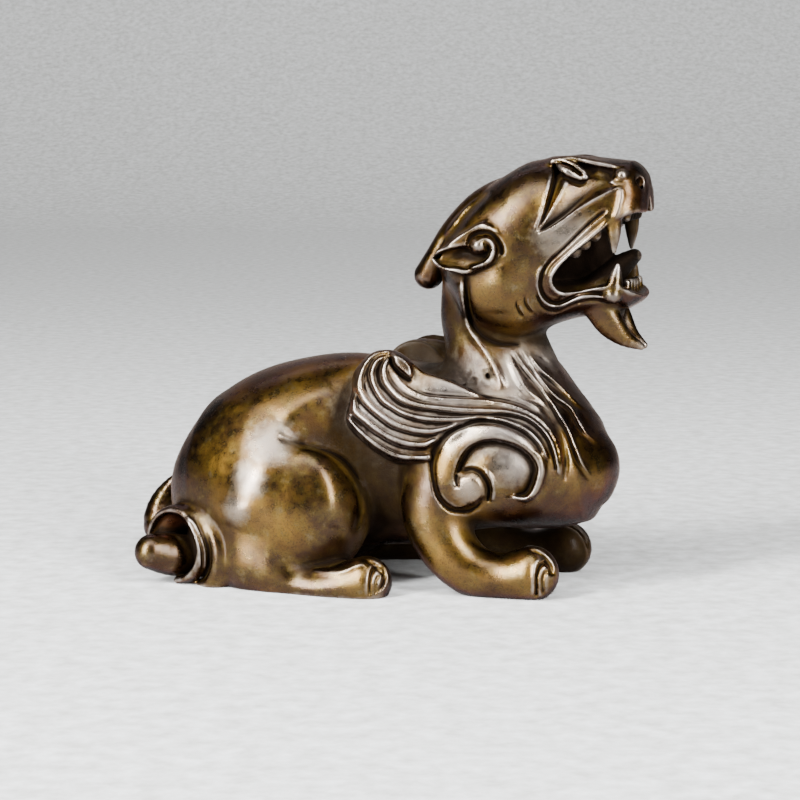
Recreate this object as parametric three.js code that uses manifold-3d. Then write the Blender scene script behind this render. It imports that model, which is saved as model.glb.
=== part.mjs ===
// Bronze qilin figure: one small solid casting of a winged beast that crouches with its head thrown up.
// Millimetres, Z up, the beast looks along +X. The soles, the haunches' undersides and the tail stand on z = 0.
import * as THREE from "three";
import { LoftGeometry } from "three/addons/geometries/LoftGeometry.js";
import { mergeVertices } from "three/addons/utils/BufferGeometryUtils.js";
import Module from "manifold-3d";

const wasm = await Module();
wasm.setup();

const bothSides = [-1, 1];
const toMiddle = 1.1; // the drawing's zero lies this far behind the middle of the finished length
const acrossBody = new THREE.Vector3(0, 1, 0);
const upright = new THREE.Vector3(0, 0, 1);
const forward = new THREE.Vector3(1, 0, 0);

// A three.js shape as a closed solid that can be joined and cut.
function solid(geometry) {
  const bare = new THREE.BufferGeometry();
  bare.setAttribute("position", geometry.attributes.position);
  bare.setIndex(geometry.index);
  const closed = mergeVertices(bare, 1e-4);
  const vertProperties = new Float32Array(closed.attributes.position.array);
  const triVerts = new Uint32Array(closed.index.array);
  return new wasm.Manifold(new wasm.Mesh({ numProp: 3, vertProperties, triVerts }));
}

// A ring of points round an oval; a higher power makes it boxier, power 1 makes it a diamond.
function oval(centre, across, up, halfAcross, halfUp, power, count) {
  return Array.from({ length: count }, (_, i) => {
    const angle = (2 * Math.PI * i) / count;
    const bend = (v) => Math.sign(v) * Math.abs(v) ** (2 / power);
    return centre
      .clone()
      .addScaledVector(across, bend(Math.cos(angle)) * halfAcross)
      .addScaledVector(up, bend(Math.sin(angle)) * halfUp);
  });
}

// Points on a smooth curve through rows of numbers, `steps` of them between each two rows.
function smooth(rows, steps) {
  const curve = (from) => new THREE.CatmullRomCurve3(
    rows.map((row) => new THREE.Vector3(...row.slice(from, from + 3).concat(0, 0, 0).slice(0, 3))),
    false, "catmullrom", 0.5);
  const places = curve(0);
  const sizes = curve(3);
  const last = (rows.length - 1) * steps;
  return Array.from({ length: last + 1 }, (_, i) => ({
    at: places.getPoint(i / last),
    along: places.getTangent(i / last),
    size: sizes.getPoint(i / last),
  }));
}

// A rounded limb along stations [x, y, z, half width, half depth]; the width lies along `wide`.
function limb(stations, { wide = acrossBody, power = 2, count = 12, steps = 2, rounded = true } = {}) {
  const path = smooth(stations, steps);
  const ring = ({ at, along, size }, reach = 0, shrink = 1) => {
    const depthways = new THREE.Vector3().crossVectors(along, wide).normalize();
    const widthways = new THREE.Vector3().crossVectors(depthways, along).normalize();
    const centre = at.clone().addScaledVector(along, reach * Math.min(size.x, size.y));
    return oval(centre, widthways, depthways.negate(), size.x * shrink, size.y * shrink, power, count).reverse();
  };
  const sections = path.map((place) => ring(place));
  if (rounded) {
    const [first, last] = [path[0], path[path.length - 1]];
    for (const angle of [0.6, 1.15]) {
      sections.unshift(ring(first, -Math.sin(angle), Math.cos(angle)));
      sections.push(ring(last, Math.sin(angle), Math.cos(angle)));
    }
  }
  return solid(new LoftGeometry(sections, { capStart: true, capEnd: true }));
}

// A form built of upright cross-sections [x, bottom, top, half width], or of level ones [z, back, front, half width].
function stacked(rows, { level = false, power = 2.2, count = 26, steps = 1 } = {}) {
  const sections = smooth(rows.map(([place, low, high, half]) => [place, low, high, half]), steps).map(({ at, size }) => {
    const middle = (at.y + at.z) / 2;
    const reach = (at.z - at.y) / 2;
    return level
      ? oval(new THREE.Vector3(middle, 0, at.x), forward, acrossBody, reach, size.x, power, count)
      : oval(new THREE.Vector3(at.x, 0, middle), acrossBody, upright, size.x, reach, power, count);
  });
  return solid(new LoftGeometry(sections, { capStart: true, capEnd: true }));
}

// An egg shape from its middle and its three half sizes.
function egg(middle, halves, [around, over] = [18, 10]) {
  const ball = new THREE.SphereGeometry(1, around, over);
  ball.scale(...halves);
  ball.translate(...middle);
  return solid(ball);
}

// A straight-sided block with the given side outline [x, z], from y = `from` to y = `to`.
function slab(outline, from, to) {
  const shape = new THREE.Shape(outline.map(([x, z]) => new THREE.Vector2(x, z)));
  const block = new THREE.ExtrudeGeometry(shape, { depth: to - from, bevelEnabled: false });
  block.rotateX(Math.PI / 2);
  block.translate(0, to, 0);
  return solid(block);
}

const join = (pieces) => pieces.reduce((whole, piece) => whole.add(piece));
const onBoth = (make) => join(bothSides.map(make));

// A solid without the pockets of air that are shut in between its joined forms.
function filled(form) {
  return form.decompose().reduce((most, body) => (body.volume() > most.volume() ? body : most));
}

// The outline's points smoothed to a flowing closed curve.
function flowing(outline, count) {
  const curve = new THREE.CatmullRomCurve3(
    outline.map(([x, z]) => new THREE.Vector3(x, 0, z)), true, "catmullrom", 0.5);
  return curve.getPoints(count).slice(0, count).map(({ x, z }) => [x, z]);
}

// A solid as a mesh that can be touched by a straight line from the side.
function touchable(form) {
  const mesh = form.getMesh();
  const geometry = new THREE.BufferGeometry();
  geometry.setAttribute("position", new THREE.BufferAttribute(new Float32Array(mesh.vertProperties), 3));
  geometry.setIndex(new THREE.BufferAttribute(new Uint32Array(mesh.triVerts), 1));
  return new THREE.Mesh(geometry, new THREE.MeshStandardMaterial({ side: THREE.DoubleSide }));
}

// Raised lines on a flank: each is drawn from the side as [x, z, half width] and laid on the skin it meets.
function linesOn(form, lines, { lift = 0.1, depth = 0.7, power = 1.3 } = {}) {
  const skin = touchable(form);
  const ray = new THREE.Raycaster();
  return onBoth((side) => join(lines.map((line) => {
    const laid = smooth(line.map(([x, z, half]) => [x, 0, z, half]), 2).map(({ at, size }) => {
      ray.set(new THREE.Vector3(at.x, side * 60, at.z), new THREE.Vector3(0, -side, 0));
      const [hit] = ray.intersectObject(skin);
      return [at.x, hit.point.y + side * lift, at.z, depth, size.x];
    });
    return limb(laid, { power, count: 6, steps: 1, rounded: false });
  })));
}

// The barrel of the body from the rump to the breast.
function trunk() {
  return stacked([
    [-30.4, 9, 13.2, 4], [-29.4, 5.5, 16.3, 8.5], [-26.9, 3, 20.8, 12], [-23.6, 1.6, 24.2, 14], [-19, 1.5, 27.1, 15],
    [-13, 3, 29.2, 15], [-7, 5.4, 30.3, 13.5], [-1, 7.2, 30.6, 12], [5, 8, 30.1, 11.5], [11, 8.4, 29.6, 12],
    [17, 8.8, 29, 12], [21.5, 9.2, 27.4, 11.2], [25.2, 9.8, 25, 9.4], [28.2, 11, 22.6, 7.2], [30.2, 12.8, 20.2, 4.6],
    [31.2, 14.8, 18.2, 2.2],
  ]);
}

function neck() {
  return stacked([
    [18, 7, 30, 10.5], [24, 8, 28.3, 10.6], [29, 8.4, 24.5, 9.2], [33, 8.2, 22.2, 7.8], [37, 7.8, 21.2, 7.2],
    [43, 9, 22, 7],
  ], { level: true, count: 22 });
}

// The skull, cheeks and muzzle as one egg that narrows forward; the mouth is cut out of it afterwards.
function skull() {
  return stacked([
    [7.6, 43, 47.6, 3], [9, 40.4, 49.9, 6], [11, 37.2, 52.2, 8.8], [13.5, 34.6, 54, 10], [16.5, 33.5, 55.6, 10.4],
    [19.5, 33.8, 57.3, 10.3], [22.5, 35.8, 58.1, 9.9], [26, 37, 58.5, 9.2], [30, 37.7, 58, 8.2], [33, 38.3, 57.8, 7.1],
    [34.5, 39.4, 56.6, 5.4], [35.2, 41, 54.8, 3.4],
  ], { power: 2.4 });
}

function haunches() {
  return onBoth((side) => join([
    egg([-11.8, side * 9.6, 10.6], [11, 8.8, 10.8]),
    limb([[-17, side * 10.6, 4.4, 5, 4.6], [-11, side * 12.8, 3, 4.6, 3.8], [-5, side * 14.6, 1.6, 3.7, 2.1],
      [0.4, side * 15.3, 2.6, 3.3, 3]]),
  ]));
}

// The bent foreleg: shoulder, elbow behind, then along the ground to the paw.
function forelegs() {
  return onBoth((side) => join([
    egg([16.5, side * 6.5, 18], [10.5, 7.4, 8.6]),
    limb([[12.5, side * 8.4, 18, 5.2, 7.6], [10, side * 9.4, 12, 4.4, 5.6], [11.4, side * 9.9, 7, 3.9, 4.6],
      [14.8, side * 10, 3.6, 3.6, 4], [19, side * 10, 2.9, 3.4, 3.3], [22.4, side * 10, 3.2, 3.6, 3.5]]),
  ]));
}

// Toes are shallow cuts down the front of each paw.
function toeCuts() {
  const cut = (x, y, half, top) => limb([[x, y, top, 0.35, 0.5], [x + half, y, top / 2, 0.35, 0.5],
    [x + half * 0.6, y, 0.3, 0.35, 0.5]], { count: 6, power: 1.2, steps: 1, rounded: false });
  return onBoth((side) => join([-1.2, 1.2].flatMap((aside) => [
    cut(23.8, side * 10 + aside, 1.9, 5.6),
    cut(1.9, side * 15.4 + aside, 1.5, 4.6),
  ])));
}

// The wing's plate: its side outline cut from a cushion that swells over the flank.
function wings() {
  const outline = flowing([[3.6, 32.6], [0.6, 32.3], [-1.2, 30.4], [-1.7, 27.2], [-2.7, 24.2], [-1.2, 21.4], [2, 18.9],
    [6, 18.2], [10, 18.6], [14, 20], [19, 20.5], [23, 21], [22, 24.6], [16, 27.2], [10, 29.4], [6, 31.2]], 36);
  return onBoth((side) => {
    const flank = egg([5, side * 5, 23.4], [16, 9.3, 10.4], [24, 16]);
    const tip = egg([2.2, side * 8.4, 28.9], [4.6, 2.6, 3.8], [16, 10]);
    return flank.add(tip).intersect(slab(outline, side < 0 ? -20 : 6.5, side < 0 ? -6.5 : 20));
  });
}

// Feather ridges sweep back from the shoulder and turn up to the wing's tip.
const feathers = [
  [[3.6, 31.2, 0.5], [4.2, 28.8, 0.6], [8, 27, 0.6], [13, 26.6, 0.6], [18, 26, 0.6], [22.4, 24.4, 0.4]],
  [[1.8, 31.4, 0.5], [2.2, 28.6, 0.65], [6, 26.1, 0.65], [12, 25.2, 0.65], [18, 24.6, 0.65], [22, 22.6, 0.4]],
  [[0.2, 31, 0.5], [0.6, 28, 0.65], [4, 25.1, 0.65], [9, 23.8, 0.65], [14, 23.5, 0.6], [19.6, 23.2, 0.4]],
  [[-1, 28.2, 0.5], [0.4, 24.9, 0.65], [5, 22.4, 0.65], [9, 22.3, 0.6], [12, 23, 0.4]],
  [[-1.8, 25.6, 0.5], [1.4, 22.8, 0.65], [5.6, 20.5, 0.65], [9.6, 21.1, 0.4]],
  [[-2, 23.4, 0.5], [1.2, 20.6, 0.65], [4.8, 18.9, 0.65], [9, 18.9, 0.4]],
];

// The shoulder's spiral: a broad band that curls round a hollow and ends in a ball.
const scroll = [
  [[20.6, 13.9, 0.5], [22.8, 14.8, 0.8], [23.3, 17.4, 0.9], [22, 20.2, 1], [19, 22, 1.2], [15.2, 22, 1.4],
    [12, 19.8, 1.7], [10.8, 16.4, 1.8], [11.8, 13.6, 1.6], [14.2, 13.4, 1.4], [14.8, 15.2, 1.2], [13.6, 15.6, 0.8]],
];

// Flutes that run down the neck and round the breast.
const flutes = [
  [[17.6, 32, 0.4], [21, 28.4, 0.6], [24.4, 24.6, 0.7], [25.8, 20.4, 0.7], [25, 16.2, 0.5]],
  [[19, 31.6, 0.4], [22.6, 27.6, 0.6], [25.8, 23.4, 0.7], [27.6, 19.6, 0.7], [28.4, 16.6, 0.5]],
  [[20.2, 31, 0.4], [23.6, 27, 0.6], [26.6, 23.6, 0.6], [28.8, 20.6, 0.4]],
  [[11, 41, 0.5], [11.2, 36.6, 0.7], [13.4, 33, 0.8], [16.2, 29.6, 0.6], [17.6, 27.8, 0.4]],
];

// The mouth is open from side to side, with its corner far back in the cheek.
function mouth() {
  return slab(flowing([[22.6, 43.4], [23.6, 45.6], [27.4, 49.2], [31, 51.6], [34, 52], [40, 50.8], [40, 41], [33.6, 42],
    [29, 41.2], [25, 40.9], [23.2, 41.6]], 22), -20, 20);
}

// The lips run round the mouth as two raised lines.
const lips = [
  [[30.6, 51, 0.4], [27.6, 48.4, 0.6], [24.6, 45.6, 0.6], [22.9, 42.8, 0.6], [24, 40.2, 0.6], [27.4, 40.5, 0.5],
    [31.2, 41.2, 0.4]],
  [[30, 52, 0.3], [26.4, 48.7, 0.45], [23, 45.4, 0.45], [21.3, 42, 0.45], [22.6, 38.6, 0.45], [26.4, 39.2, 0.4],
    [30.6, 39.9, 0.3]],
  [[22, 49, 0.3], [25, 50.5, 0.5], [29, 53.1, 0.6], [32.4, 55.4, 0.6], [33, 53.4, 0.6], [32.4, 51.4, 0.5]],
];

// Fangs and the curled tongue.
function teeth() {
  const fang = (side, x, y, root, tip) => limb([[x, side * y, root, 1, 1.1], [x + 0.2, side * y, (root + tip) / 2, 0.8, 0.8],
    [x + 0.5, side * y, tip, 0.3, 0.3]], { count: 8, steps: 1 });
  return onBoth((side) => join([fang(side, 31.8, 5.6, 52, 46.4), fang(side, 31.6, 5.4, 41, 44.6)]));
}

function tongue() {
  return limb([[25, 0, 42.2, 3.6, 1.6], [29, 0, 43, 3.4, 1.4], [32, 0, 45.2, 3, 1.1], [34.2, 0, 45.6, 2.4, 0.9]], { power: 2.4 });
}

// The sockets are wedges that run down the cheek to a point; each holds a cone below the eye.
function sockets() {
  const wedge = [[21.9, 48.8], [32.8, 55.2], [33.2, 57], [28.6, 59], [23.8, 59]];
  return onBoth((side) => slab(wedge, side < 0 ? -20 : 6.6, side < 0 ? -6.6 : 20));
}

function eyes() {
  return onBoth((side) => join([
    limb([[22.8, side * 7.4, 50, 0.7, 0.4], [25, side * 6.9, 53, 1.3, 1.2], [26.8, side * 6.2, 56, 1.6, 2.2]], { count: 10 }),
    egg([26.6, side * 5.2, 56.3], [2.5, 2.4, 1.7], [12, 8]),
  ]));
}

function nose() {
  return join([
    limb([[24, 0, 57.3, 3.4, 1.6], [29, 0, 57.2, 2.2, 1.4], [33.6, 0, 56.4, 3, 2]]),
    onBoth((side) => egg([32.9, side * 3, 56.2], [1.5, 1.6, 1.5], [12, 8])),
  ]);
}

// Ears lie back along the head like leaves, hollow below, with a curl at the root.
function ears() {
  return onBoth((side) => {
    const leaf = limb([[6.9, side * 9.9, 44.6, 0.5, 0.6], [10, side * 10.2, 46, 1.2, 2.2], [14, side * 10, 47.4, 1.6, 2.8],
      [17, side * 9, 48, 1.2, 2]], { count: 10 });
    const hollow = limb([[7.8, side * 11.6, 44.6, 0.8, 0.5], [11, side * 11.9, 45, 1, 1.4], [14.4, side * 11.6, 45.4, 0.8, 1]],
      { count: 8 });
    const curl = egg([14.4, side * 10.4, 47], [1.7, 1.6, 1.8], [12, 8]);
    return leaf.subtract(hollow).add(curl);
  });
}

// The crest lies back along the skull and ends in a round lock at the nape.
function crest() {
  return limb([[17.4, 0, 55.2, 2.4, 1], [12.6, 0, 52.8, 3.2, 1.2], [9.4, 0, 49, 3.5, 1.4], [6.9, 0, 44.6, 3.2, 1.6],
    [5.8, 0, 42.2, 2.6, 1.9]], { power: 3, count: 12 });
}

// The beard: two lobes swept forward under the chin, hollow between.
function beard() {
  return onBoth((side) => limb([[28.6, side * 3, 38.6, 2, 2.4], [30.4, side * 2.6, 36, 1.4, 2.2],
    [32.4, side * 1.8, 34.2, 1.1, 1.3], [34.8, side * 1, 33.2, 0.6, 0.6]], { count: 10 }))
    .add(limb([[30.6, 0, 39, 2.8, 1.6], [31, 0, 36, 2, 1], [33.2, 0, 33.8, 1.2, 0.6]], { count: 10 }));
}

// The tail rises as a leaf behind the rump and throws a curl with a knobbed end to each side.
function tail() {
  const leaf = limb([[-32, 0, 2.4, 5.4, 3.8], [-34.4, 0, 5.4, 4.4, 3.4], [-34.4, 0, 8.6, 3.2, 2.8],
    [-32.6, 0, 11.6, 1.5, 1.3]], { count: 14 });
  const root = egg([-28, 0, 4.5], [8, 9, 5.5]);
  return onBoth((side) => {
    const axis = new THREE.Vector3(-0.45, side * 0.89, 0);
    const outward = new THREE.Vector3(0.89, side * 0.45, 0);
    const centre = new THREE.Vector3(-26.4, side * 10.6, 5.6);
    const turn = [-1.1, -0.5, 0.1, 0.7, 1.3, 1.9, 2.5, 3.1, 3.7].map((angle) => {
      const at = centre.clone().addScaledVector(outward, Math.cos(angle) * 4.9);
      at.z += Math.sin(angle) * 4.9;
      return [...at.toArray(), 2.9, 1.5];
    });
    const band = limb(turn, { wide: axis, power: 2.6, count: 12, steps: 1 });
    const knobEnd = centre.clone().addScaledVector(axis, 4.8);
    const knob = limb([[...centre.toArray(), 2, 2], [...knobEnd.toArray(), 2.4, 2.3]], { wide: upright, count: 12 });
    return band.add(knob.translate([-2, 0, -1.2]));
  }).add(leaf).add(root);
}

function figure() {
  const body = join([trunk(), neck(), forelegs(), wings()]);
  const relief = join([linesOn(body, feathers), linesOn(body, scroll, { depth: 1, power: 1.8 }), linesOn(body, flutes)]);
  const face = skull().add(linesOn(skull(), lips, { depth: 0.5 })).subtract(sockets()).subtract(mouth());
  const head = join([face, eyes(), nose(), ears(), crest(), beard(), teeth(), tongue()]);
  const whole = join([body, relief, haunches(), head, tail()]).subtract(toeCuts());
  const aboveGround = slab([[-60, 0], [60, 0], [60, 80], [-60, 80]], -40, 40);
  return filled(whole.asOriginal().simplify(0.15).intersect(aboveGround)).translate([toMiddle, 0, 0]);
}

const bronze = new THREE.MeshStandardMaterial({ color: 0x8a7040, metalness: 1, roughness: 0.35 });
const qilin = new THREE.Mesh(touchable(figure()).geometry, bronze);
qilin.name = "qilin";
const part = new THREE.Group();
part.add(qilin);

export default part;
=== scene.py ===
"""A small solid bronze of a crouching winged beast, modelled as one block of wax and finished as a polished casting.

The wax is a block of grains, each holding its distance to the skin. Eggs, limbs and swelling barrels are pressed
together in it, the wings, lips and scrolls are drawn on its flank as a low relief, and the skin is then taken off
as one mesh. Drawing sizes are millimetres, with the beast looking along +X and its right side at negative Y.
"""

import math
import random

import bmesh
import bpy
import numpy as np
import openvdb
from bpy.props import FloatProperty, IntProperty, PointerProperty, StringProperty
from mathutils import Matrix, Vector


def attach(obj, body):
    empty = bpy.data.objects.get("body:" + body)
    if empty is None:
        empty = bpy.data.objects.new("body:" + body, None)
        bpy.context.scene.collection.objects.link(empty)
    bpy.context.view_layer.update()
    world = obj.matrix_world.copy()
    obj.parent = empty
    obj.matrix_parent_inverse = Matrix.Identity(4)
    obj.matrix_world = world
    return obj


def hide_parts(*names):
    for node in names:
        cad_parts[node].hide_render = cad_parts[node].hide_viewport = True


bl_info = {
    "name": "Bronze qilin figure",
    "version": (1, 0, 0),
    "blender": (4, 5, 0),
    "location": "3D View > Sidebar > Qilin",
    "description": "Models a crouching winged beast as one bronze casting with a hand-polished patina",
    "category": "Add Mesh",
}

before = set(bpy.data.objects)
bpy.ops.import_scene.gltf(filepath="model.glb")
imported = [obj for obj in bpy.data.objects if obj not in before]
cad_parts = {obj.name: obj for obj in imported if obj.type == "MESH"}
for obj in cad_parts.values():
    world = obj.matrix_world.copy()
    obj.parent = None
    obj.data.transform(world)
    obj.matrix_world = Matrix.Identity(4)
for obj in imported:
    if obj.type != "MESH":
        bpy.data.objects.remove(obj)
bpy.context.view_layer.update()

MM = 0.001
TO_MIDDLE = 1.1  # the drawing's zero lies this far behind the middle of the finished length
FAR = 4.0  # distances in the wax are kept only this close to the skin

# The drawings are made, and the picture is taken, from 17 degrees round to the right of the flank and 7 degrees up
TURN = math.radians(17)
RISE = math.radians(7)
LOOK_AT = np.array([0.7, 0.0, 24.8])
TOWARDS_EYE = np.array([math.sin(TURN) * math.cos(RISE), -math.cos(TURN) * math.cos(RISE), math.sin(RISE)])
EYE = LOOK_AT + 340.0 * TOWARDS_EYE


# Colours

def linear(code):
    """An sRGB hex colour as the linear colour that the shaders take."""
    channels = [int(code[place:place + 2], 16) / 255 for place in (1, 3, 5)]
    return tuple(c / 12.92 if c <= 0.04045 else ((c + 0.055) / 1.055) ** 2.4 for c in channels) + (1.0,)


# Curves

def flowing(rows, steps=6, closed=False):
    """Points on a smooth curve through the rows, `steps` of them between each two rows."""
    rows = np.array(rows, float)
    if closed:
        around = np.vstack([rows[-1:], rows, rows[:2]])
    else:
        around = np.vstack([2 * rows[0] - rows[1], rows, 2 * rows[-1] - rows[-2]])
    before, start, end, after = around[:-3], around[1:-2], around[2:-1], around[3:]
    points = []
    for t in np.arange(steps) / steps:
        points.append(0.5 * (2 * start + (end - before) * t + (2 * before - 5 * start + 4 * end - after) * t ** 2
                             + (3 * start - before - 3 * end + after) * t ** 3))
    curve = np.stack(points, 1).reshape(-1, rows.shape[1])
    return curve if closed else np.vstack([curve, rows[-1:]])


def at_stations(rows, places):
    """The columns after the first, read at the places along the first, on a smooth curve through the rows."""
    curve = flowing(rows, 8)
    return [np.interp(places, curve[:, 0], curve[:, column]) for column in range(1, curve.shape[1])]


def eased(value):
    """A share from 0 to 1, with soft ends."""
    value = np.clip(value, 0, 1)
    return value * value * (3 - 2 * value)


# Forms: each is a function that gives distances to its skin, with the corners of the box that it fills

class Form:
    def __init__(self, distance, low, high):
        self.distance = distance
        self.low = np.array(low, float)
        self.high = np.array(high, float)


def shell_distance(level, grain):
    """Turns a value that is 0 on a skin and grows outwards into roughly a distance."""
    steepness = np.zeros_like(level)
    for axis in range(3):
        if level.shape[axis] > 1:
            steepness += np.gradient(level, grain, axis=axis) ** 2
    return level / np.sqrt(np.maximum(steepness, 1e-6))


def oval_distance(parts, radii):
    """Distance to an oval whose axes' coordinates and half sizes are given."""
    near = sum((part / radius) ** 2 for part, radius in zip(parts, radii))
    steep = sum((part / radius ** 2) ** 2 for part, radius in zip(parts, radii))
    near = np.sqrt(near)
    return near * (near - 1) / np.sqrt(np.maximum(steep, 1e-9))


def egg(middle, radii, lean=0.0):
    """An egg with its half sizes along X, Y and Z, leaned back about Y by some degrees."""
    cosine, sine = math.cos(math.radians(lean)), math.sin(math.radians(lean))

    def distance(x, y, z, grain):
        dx, dy, dz = x - middle[0], y - middle[1], z - middle[2]
        return oval_distance((dx * cosine + dz * sine, dy, dz * cosine - dx * sine), radii)

    reach = np.array([max(radii[0], radii[2]), radii[1], max(radii[0], radii[2])])
    return Form(distance, np.array(middle) - reach, np.array(middle) + reach)


def limb(stations, wide=(0, 1, 0), steps=3):
    """A rounded limb through stations (x, y, z, half width, half depth), its width lying along `wide`."""
    path = flowing(stations, steps)
    wide = np.array(wide, float)

    def distance(x, y, z, grain):
        nearest = None
        for start, end in zip(path[:-1], path[1:]):
            step = end[:3] - start[:3]
            along = step / np.linalg.norm(step)
            widthways = wide - wide.dot(along) * along
            widthways /= np.linalg.norm(widthways)
            depthways = np.cross(along, widthways)
            dx, dy, dz = x - start[0], y - start[1], z - start[2]
            t = np.clip((dx * step[0] + dy * step[1] + dz * step[2]) / step.dot(step), 0, 1)
            dx, dy, dz = dx - t * step[0], dy - t * step[1], dz - t * step[2]
            half_width = start[3] + t * (end[3] - start[3])
            half_depth = start[4] + t * (end[4] - start[4])
            parts = [dx * way[0] + dy * way[1] + dz * way[2] for way in (widthways, depthways, along)]
            piece = oval_distance(parts, (half_width, half_depth, np.minimum(half_width, half_depth)))
            nearest = piece if nearest is None else np.minimum(nearest, piece)
        return nearest

    reach = path[:, 3:5].max(1)[:, None]
    return Form(distance, (path[:, :3] - reach).min(0), (path[:, :3] + reach).max(0))


def barrel(rows, power=2.2, level=False):
    """A swelling form of upright cross-sections (x, bottom, top, half width) or, if level, (z, back, front, half)."""
    rows = np.array(rows, float)

    def distance(x, y, z, grain):
        along, across = (z, x) if level else (x, z)
        low, high, half = at_stations(rows, along)
        middle, reach = (low + high) / 2, np.maximum((high - low) / 2, 0.05)
        half = np.maximum(half, 0.05)
        size = (np.abs(y) / half) ** power + (np.abs(across - middle) / reach) ** power
        value = size ** (1 / power) - 1
        outside = np.maximum(rows[0, 0] - along, along - rows[-1, 0])
        value = np.maximum(value, outside / 2)
        return shell_distance(value.astype(np.float32), grain)

    half, low, high = rows[:, 3].max(), rows[:, 1].min(), rows[:, 2].max()
    if level:
        return Form(distance, (low, -half, rows[0, 0]), (high, half, rows[-1, 0]))
    return Form(distance, (rows[0, 0], -half, low), (rows[-1, 0], half, high))


def overlap(first, second, edge=0.4):
    """What two forms have in common, with its edge rounded over `edge`."""
    def distance(x, y, z, grain):
        one, other = first.distance(x, y, z, grain), second.distance(x, y, z, grain)
        soft = np.maximum(edge - np.abs(one - other), 0) / edge
        return np.maximum(one, other) + soft * soft * edge / 4

    return Form(distance, np.maximum(first.low, second.low), np.minimum(first.high, second.high))


# Lines and outlines drawn from the side

def line_reach(curve, x, z):
    """Distance from each place to a drawn line, and how far along the line its nearest point lies."""
    curve = np.array(curve, float)[:, :2]
    best = np.full(np.broadcast(x, z).shape, 1e9)
    share = np.zeros_like(best)
    lengths = np.linalg.norm(np.diff(curve, axis=0), axis=1)
    run = np.concatenate([[0], np.cumsum(lengths)])
    for number, (start, end) in enumerate(zip(curve[:-1], curve[1:])):
        step = end - start
        dx, dz = x - start[0], z - start[1]
        t = np.clip((dx * step[0] + dz * step[1]) / max(step.dot(step), 1e-9), 0, 1)
        away = np.hypot(dx - t * step[0], dz - t * step[1])
        closer = away < best
        best = np.where(closer, away, best)
        share = np.where(closer, (run[number] + t * lengths[number]) / run[-1], share)
    return best, share


def outline_reach(outline, x, z):
    """Distance to a closed outline, negative inside it."""
    closed = np.vstack([outline, outline[:1]])
    away, _ = line_reach(closed, x, z)
    inside = np.zeros(away.shape, bool)
    for (x0, z0), (x1, z1) in zip(closed[:-1], closed[1:]):
        if z0 == z1:
            continue
        crosses = (z0 > z) != (z1 > z)
        inside ^= crosses & (x < (x1 - x0) * (z - z0) / (z1 - z0) + x0)
    return np.where(inside, -away, away)


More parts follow.
